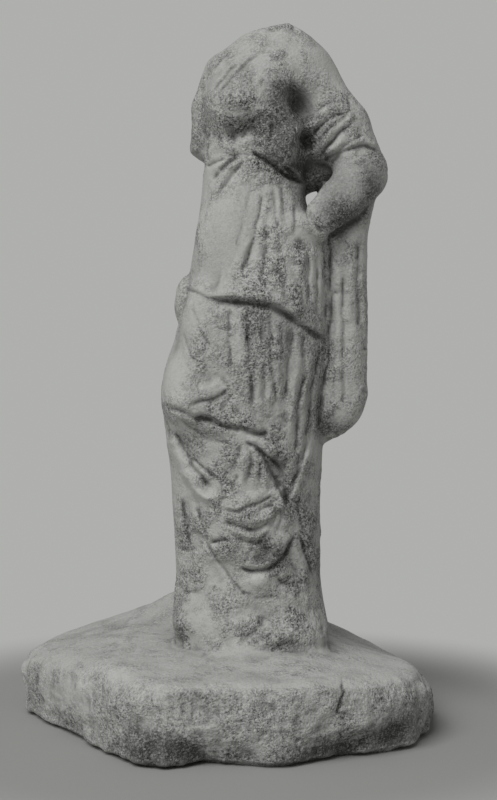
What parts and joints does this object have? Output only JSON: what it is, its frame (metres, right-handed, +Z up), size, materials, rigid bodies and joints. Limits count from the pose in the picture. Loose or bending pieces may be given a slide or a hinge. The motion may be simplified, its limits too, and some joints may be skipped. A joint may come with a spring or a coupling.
{
  "type": "marble statue",
  "caption": "Headless standing draped woman with one hand on her hip, carved in one block with her rough base.",
  "frame": {"origin": "on the underside of the base, under the middle of the whole part's bounding box", "axes": "+Z up the figure, -Y towards the broad front of the base, +X towards the figure's left arm, which is bent with its hand on the hip"},
  "size_m": [0.607, 0.5658, 1],
  "materials": {
    "marble": "weathered coarse-grained white marble, greyed, dull, pitted, with paler smoother patches"
  },
  "bodies": {
    "root": {"draped_figure_on_base": "marble"}
  },
  "joints": []
}
